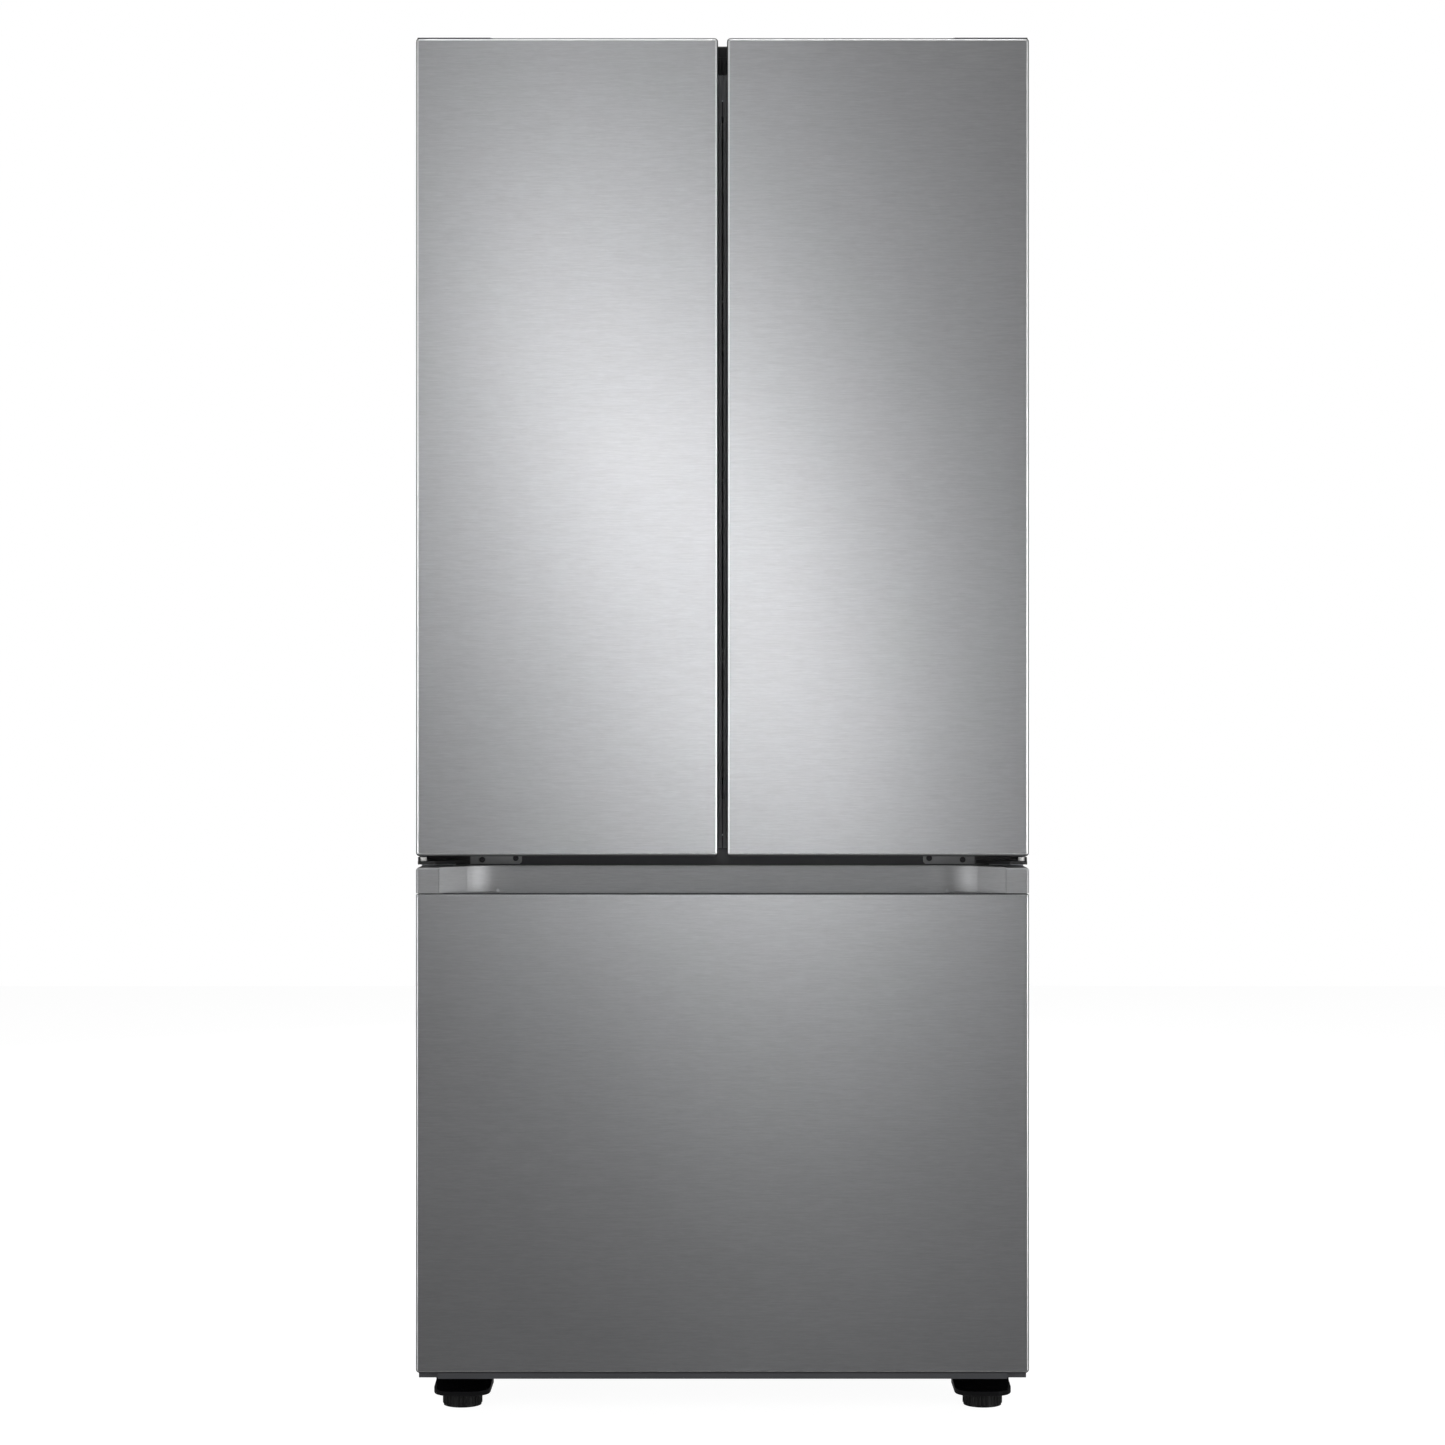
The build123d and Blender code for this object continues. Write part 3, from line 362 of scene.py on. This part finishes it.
def islands(node):
    """The (lowest, highest) corners of each separate solid of a CAD node."""
    shape = bmesh.new()
    shape.from_mesh(frame["nodes"][node].data)
    bmesh.ops.remove_doubles(shape, verts=shape.verts, dist=1e-6)
    left = set(shape.verts)
    found = []
    while left:
        group, edge = [], [left.pop()]
        while edge:
            vert = edge.pop()
            group.append(vert.co.copy())
            for link in vert.link_edges:
                other = link.other_vert(vert)
                if other in left:
                    left.remove(other)
                    edge.append(other)
        low = Vector([min(c[i] for c in group) for i in range(3)])
        high = Vector([max(c[i] for c in group) for i in range(3)])
        found.append((low, high))
    shape.free()
    return sorted(found, key=lambda pair: tuple(pair[0]))


def strip_round(shape, rings, closed=True):
    """Faces between rings of vertices that follow each other."""
    count = len(rings)
    for index in range(count if closed else count - 1):
        ring, following = rings[index], rings[(index + 1) % count]
        for start in range(len(ring)):
            end = (start + 1) % len(ring)
            shape.faces.new((ring[start], ring[end], following[end], following[start]))


# A bellows gasket's outline: millimetres inwards, and the share of the way to the sealed face
GASKET_FOOT = ((4.5, 0.0), (12.5, 0.0), (12.5, 0.19))
GASKET_INNER_FOLDS = ((11.0, 0.31), (13.4, 0.44), (11.6, 0.57))
GASKET_MAGNET_TUBE = (
    (13.6, 0.66),
    (13.7, 0.95),
    (13.2, 1.0),
    (-0.4, 1.0),
    (-1.0, 0.95),
    (-1.0, 0.68),
    (-0.5, 0.63),
)
GASKET_OUTER_FOLDS = ((4.2, 0.61), (2.6, 0.46), (4.7, 0.31), (3.5, 0.17))


def gasket(shape, x, z, panel, seal):
    """A bellows gasket round an upright rectangle: foot, two folds and the magnet's tube."""
    deep = seal - panel
    section = GASKET_FOOT + GASKET_INNER_FOLDS + GASKET_MAGNET_TUBE + GASKET_OUTER_FOLDS
    rings = []
    for right, up in ((0, 0), (1, 0), (1, 1), (0, 1)):
        ring = []
        for inset, depth in section:
            across = x[right] + (-inset if right else inset) * MM
            height = z[up] + (-inset if up else inset) * MM
            ring.append(shape.verts.new((across, panel + depth * deep, height)))
        rings.append(ring)
    strip_round(shape, rings)


HEAD_STEPS = 32  # vertices round a screw's head
HEAD_ARM = HEAD_STEPS // 4  # steps from one arm of the cross recess to the next
HEAD_LEVELS = (  # share of the height, share of the radius, and whether the cross shapes it
    (0.35, 0.44, True),
    (0.96, 0.50, True),
    (0.90, 0.72, False),
    (0.62, 0.93, False),
    (0.40, 1.0, False),
    (0.0, 1.0, False),
)


def screw_head(shape, centre, out, radius, height):
    """A low domed head with a cross recess, standing out along a direction."""
    turn = Vector(out).to_track_quat("Z", "Y").to_matrix()
    rings = []
    for level, reach, crossed in HEAD_LEVELS:
        ring = []
        for step in range(HEAD_STEPS):
            angle = math.tau * step / HEAD_STEPS
            between = step % HEAD_ARM not in (0, 1, HEAD_ARM - 1)
            arm = 0.40 if crossed and between else 1.0
            flat = Vector((math.cos(angle), math.sin(angle), 0)) * radius * reach * arm
            lifted = turn @ (flat + Vector((0, 0, height * level)))
            ring.append(shape.verts.new(Vector(centre) + lifted))
        rings.append(ring)
    strip_round(shape, rings, closed=False)
    shape.faces.new(rings[0])
    shape.faces.new(list(reversed(rings[-1])))


def bar(shape, low, high, ease):
    """A bar with eased edges between two corners."""
    made = bmesh.ops.create_cube(shape, size=1)["verts"]
    middle = (Vector(low) + Vector(high)) / 2
    size = Vector(high) - Vector(low)
    for vert in made:
        vert.co = middle + Vector(c * s for c, s in zip(vert.co, size))
    edges = list({edge for vert in made for edge in vert.link_edges})
    bmesh.ops.bevel(shape, geom=edges, offset=ease, segments=3, affect="EDGES", profile=0.5)


for body, node in (
    ("door_left", "door_gasket_left"),
    ("door_right", "door_gasket_right"),
    ("freezer_drawer", "drawer_gasket"),
):
    low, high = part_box(node)
    piece(
        f"{node}_bellows",
        body,
        "gasket_rubber",
        lambda shape: gasket(shape, (low[0], high[0]), (low[2], high[2]), low[1], high[1]),
        [node],
    )


# Strips of pale steel over the rounded rims of the fronts, a painted highlight along their edges
HEM_CORNER = 4.5 * MM  # radius of a front's corners, seen from the front
HEM_STEPS = 5  # across the fold
HEM_PROUD = 0.07  # millimetres, in front of the steel
HEM_THICK = 0.4  # millimetres
CORNER_STEPS = 6  # round a corner


def painted_rim_highlight(shape, x, z, front, rim):
    """A painted highlight: a strip of pale steel along the rim of a steel front, whose radius is
    rim, in millimetres.
    """
    insets = [rim - 0.3 - step * (rim - 1.7) / HEM_STEPS for step in range(HEM_STEPS + 1)]
    section = []
    for inset in insets:
        fall = rim - math.sqrt(rim**2 - (rim - inset) ** 2)
        section.append((inset, max(0.0, fall - HEM_PROUD)))
    section += [(inset, depth + HEM_THICK) for inset, depth in reversed(section)]
    rings = []
    for right, up, start in ((0, 0, 180), (1, 0, 270), (1, 1, 0), (0, 1, 90)):
        centre_x = x[right] + (-HEM_CORNER if right else HEM_CORNER)
        centre_z = z[up] + (-HEM_CORNER if up else HEM_CORNER)
        for step in range(CORNER_STEPS + 1):
            angle = math.radians(start + 90 // CORNER_STEPS * step)
            ring = []
            for inset, depth in section:
                reach = HEM_CORNER - inset * MM
                across = centre_x + reach * math.cos(angle)
                height = centre_z + reach * math.sin(angle)
                ring.append(shape.verts.new((across, front + depth * MM, height)))
            rings.append(ring)
    strip_round(shape, rings)


for body, node, rim in (
    ("door_left", "door_skin_left", 4),
    ("door_right", "door_skin_right", 4),
    ("freezer_drawer", "drawer_skin", 3),
):
    low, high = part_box(node)
    piece(
        f"{node}_hem",
        body,
        "steel_painted_highlight",
        lambda shape: painted_rim_highlight(shape, (low[0], high[0]), (low[2], high[2]), low[1], rim),
    )

skin_low, skin_high = (Vector(corner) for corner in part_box("drawer_skin"))


def seam(shape):
    """A dark strip laid in the seam between the drawer's front and its handle strip, a painted
    shade in the gap.
    """
    seam_low = (skin_low.x + 4 * MM, skin_low.y + 1.2 * MM, skin_high.z + 0.05 * MM)
    seam_high = (skin_high.x - 4 * MM, skin_low.y + 9 * MM, skin_high.z + 1.45 * MM)
    bar(shape, seam_low, seam_high, 0.2 * MM)


piece("drawer_seam_painted_shade", "freezer_drawer", "black_plastic", seam)


def hinge_screw_heads(shape):
    """Heads on the front plates, and larger ones on the top plates under the covers."""
    for low, high in islands("hinge_screws"):
        middle = (low + high) / 2
        size = high - low
        if size.y < size.z:
            screw_head(shape, (middle.x, high.y, middle.z), (0, -1, 0), size.x / 2, size.y)
        else:
            screw_head(shape, (middle.x, middle.y, low.z), (0, 0, 1), size.x / 2, size.z)


piece("hinge_screw_heads", "cabinet", "black_steel", hinge_screw_heads, ["hinge_screws"])

back_low, back_high = (Vector(corner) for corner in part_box("back_panel"))
cover_low, cover_high = (Vector(corner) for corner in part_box("machine_cover"))
BACKWARD = (0, 1, 0)
REAR_HEAD_RADIUS = 4 * MM
REAR_HEAD_SUNK = 0.2 * MM
PANEL_HEAD_HEIGHT = 2.4 * MM
COVER_HEAD_HEIGHT = 1.1 * MM  # low, so that the heads stay within the CAD's depth
PANEL_ROWS = 6


def rear_screw_heads(shape):
    """Screws along the edges of the back panel and round the machine cover."""
    edge = 10 * MM
    rise = (back_high.z - back_low.z - 2 * edge) / (PANEL_ROWS - 1)
    for x in (back_low.x + edge, back_high.x - edge):
        for row in range(PANEL_ROWS):
            spot = (x, back_high.y - REAR_HEAD_SUNK, back_low.z + edge + row * rise)
            screw_head(shape, spot, BACKWARD, REAR_HEAD_RADIUS, PANEL_HEAD_HEIGHT)
    for x in (cover_low.x + edge, cover_high.x - edge):
        for z in (cover_low.z + edge, cover_high.z - edge):
            spot = (x, cover_high.y - REAR_HEAD_SUNK, z)
            screw_head(shape, spot, BACKWARD, REAR_HEAD_RADIUS, COVER_HEAD_HEIGHT)


piece("rear_screw_heads", "cabinet", "zinc_steel", rear_screw_heads)


foam_low, foam_high = (Vector(corner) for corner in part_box("cabinet_foam"))
PAN_REACH = 0.52  # back from the front of the freezer liner
PAN_RIBS = 5
RIB_HALF = 6 * MM
RIB_END = 0.05  # from a rib's ends to the pan's edges


def base_pan(shape):
    """The ribbed sheet under the insulation, in front of the machine compartment."""
    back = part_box("freezer_liner")[0][1] + PAN_REACH
    sheet_low = (foam_low.x, foam_low.y, foam_low.z - 0.6 * MM)
    sheet_high = (foam_high.x, back, foam_low.z + 0.4 * MM)
    bar(shape, sheet_low, sheet_high, 0.2 * MM)
    for rib in range(PAN_RIBS):
        x = foam_low.x + (rib + 1) * (foam_high.x - foam_low.x) / (PAN_RIBS + 1)
        rib_low = (x - RIB_HALF, foam_low.y + RIB_END, foam_low.z - 2 * MM)
        rib_high = (x + RIB_HALF, back - RIB_END, foam_low.z)
        bar(shape, rib_low, rib_high, 0.8 * MM)


piece("base_pan", "cabinet", "rear_sheet", base_pan)


def shelf_trims(shape):
    """A slim metal trim on the front edge of each glass shelf."""
    rim_low, rim_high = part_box("shelf_frames")
    for low, high in islands("shelf_glass"):
        bar(
            shape,
            (rim_low[0] + 12 * MM, rim_low[1] - 0.6 * MM, low.z - 6 * MM),
            (rim_high[0] - 12 * MM, rim_low[1] + 1.2 * MM, high.z + 1 * MM),
            0.5 * MM,
        )


# The trims share the handle strip's steel, so its painted pocket shade darkens them within
# CAP_START of the centre
piece("shelf_trims", "cabinet", "steel_handle", shelf_trims)


# ---- Studio ----
FRONT = cad_bounds[0][1]
CAMERA_DISTANCE = 3.9
CAMERA_HEIGHT = 0.860
FRAME_HEIGHT = 1.7807
SENSOR = 36.0

lens = bpy.data.cameras.new("camera")
lens.sensor_width = SENSOR
lens.lens = SENSOR * CAMERA_DISTANCE / FRAME_HEIGHT
camera = bpy.data.objects.new("camera", lens)
camera.location = (0, FRONT - CAMERA_DISTANCE, CAMERA_HEIGHT)
camera.rotation_euler = (math.radians(90), 0, 0)
bpy.context.collection.objects.link(camera)
bpy.context.scene.camera = camera


def softbox(name, place, target, size, power, roll=0.0, mirrored=True):
    """A rectangular soft light aimed at a point, hidden from the camera.

    mirrored says whether the object's shiny faces reflect it.
    """
    data = bpy.data.lights.new(name, "AREA")
    data.shape = "RECTANGLE"
    data.size, data.size_y = size
    data.energy = power
    lamp = bpy.data.objects.new(name, data)
    lamp.location = place
    aim = (Vector(target) - Vector(place)).to_track_quat("-Z", "Y")
    lamp.rotation_euler = (aim @ Matrix.Rotation(roll, 3, "Z").to_quaternion()).to_euler()
    lamp.visible_camera = False
    lamp.visible_glossy = mirrored
    bpy.context.collection.objects.link(lamp)


# The key is a strip tilted from upper left to lower right; the fills stand low at both sides.
KEY_ROLL = math.radians(37)
softbox("key", (-0.09, -3.0, 1.24), (-0.09, 0, 1.24), (0.16, 1.3), 7.9, roll=KEY_ROLL)
softbox("fill_left", (-2.2, -2.4, 0.6), (0, -0.4, 0.6), (1.3, 1.6), 13)
softbox("fill_right", (2.2, -2.4, 0.6), (0, -0.4, 0.6), (1.3, 1.6), 22)
softbox("side_left", (-3.4, -2.3, 1.2), (0, -0.4, 1.1), (0.9, 2.4), 20)
softbox("side_right", (3.4, -2.3, 1.2), (0, -0.4, 1.1), (0.9, 2.4), 20)
softbox("overhead", (0, -1.7, 3.7), (0, -0.4, 1.0), (2.4, 0.8), 20)
softbox("top_wash", (0, 0.4, 4.2), (0, 0, 0.0), (2.6, 2.6), 60, mirrored=False)
softbox("rear_left", (-2.4, 3.2, 1.8), (0, 0, 0.9), (2.2, 2.4), 60)
softbox("rear_right", (2.4, 3.0, 1.4), (0, 0, 0.9), (2.0, 2.4), 45)

# The camera sees a white ground, and the object is lit by a much dimmer one.
BACKDROP_STRENGTH = 1.0
SURROUND_STRENGTH = 0.06
world = bpy.data.worlds.new("studio")
world.use_nodes = True
bpy.context.scene.world = world
bpy.context.scene.view_settings.view_transform = "Standard"
wires = world.node_tree
backdrop = wires.nodes["Background"]
backdrop.inputs["Color"].default_value = (1, 1, 1, 1)
backdrop.inputs["Strength"].default_value = BACKDROP_STRENGTH
surround = wires.nodes.new("ShaderNodeBackground")
surround.inputs["Color"].default_value = (1, 1, 1, 1)
surround.inputs["Strength"].default_value = SURROUND_STRENGTH
rays = wires.nodes.new("ShaderNodeLightPath")
choice = wires.nodes.new("ShaderNodeMixShader")
wires.links.new(rays.outputs["Is Camera Ray"], choice.inputs["Fac"])
wires.links.new(surround.outputs["Background"], choice.inputs[1])
wires.links.new(backdrop.outputs["Background"], choice.inputs[2])
wires.links.new(choice.outputs["Shader"], wires.nodes["World Output"].inputs["Surface"])

# The floor glows a little and isn't reflected, so that it reads as white as the ground.
FLOOR_HALF = 6.0
FLOOR_GLOW = 0.95
PAPER_DARK, PAPER_PALE = (0.20, 0.20, 0.20), (0.24, 0.24, 0.24)
floor_mesh = bpy.data.meshes.new("floor")
shape = bmesh.new()
bmesh.ops.create_grid(shape, x_segments=2, y_segments=2, size=FLOOR_HALF)
shape.to_mesh(floor_mesh)
shape.free()
floor = bpy.data.objects.new("floor", floor_mesh)
bpy.context.collection.objects.link(floor)
paper = Tree("floor_paper")
speckle = paper.spread(paper.noise(40), 0, 1)
paper.wire("Base Color", paper.blend(speckle, PAPER_DARK, PAPER_PALE))
paper.set(Roughness=0.9, Emission_Strength=FLOOR_GLOW)
paper.shader.inputs["Emission Color"].default_value = (1, 1, 1, 1)
floor_mesh.materials.append(paper.material)
floor.visible_glossy = False
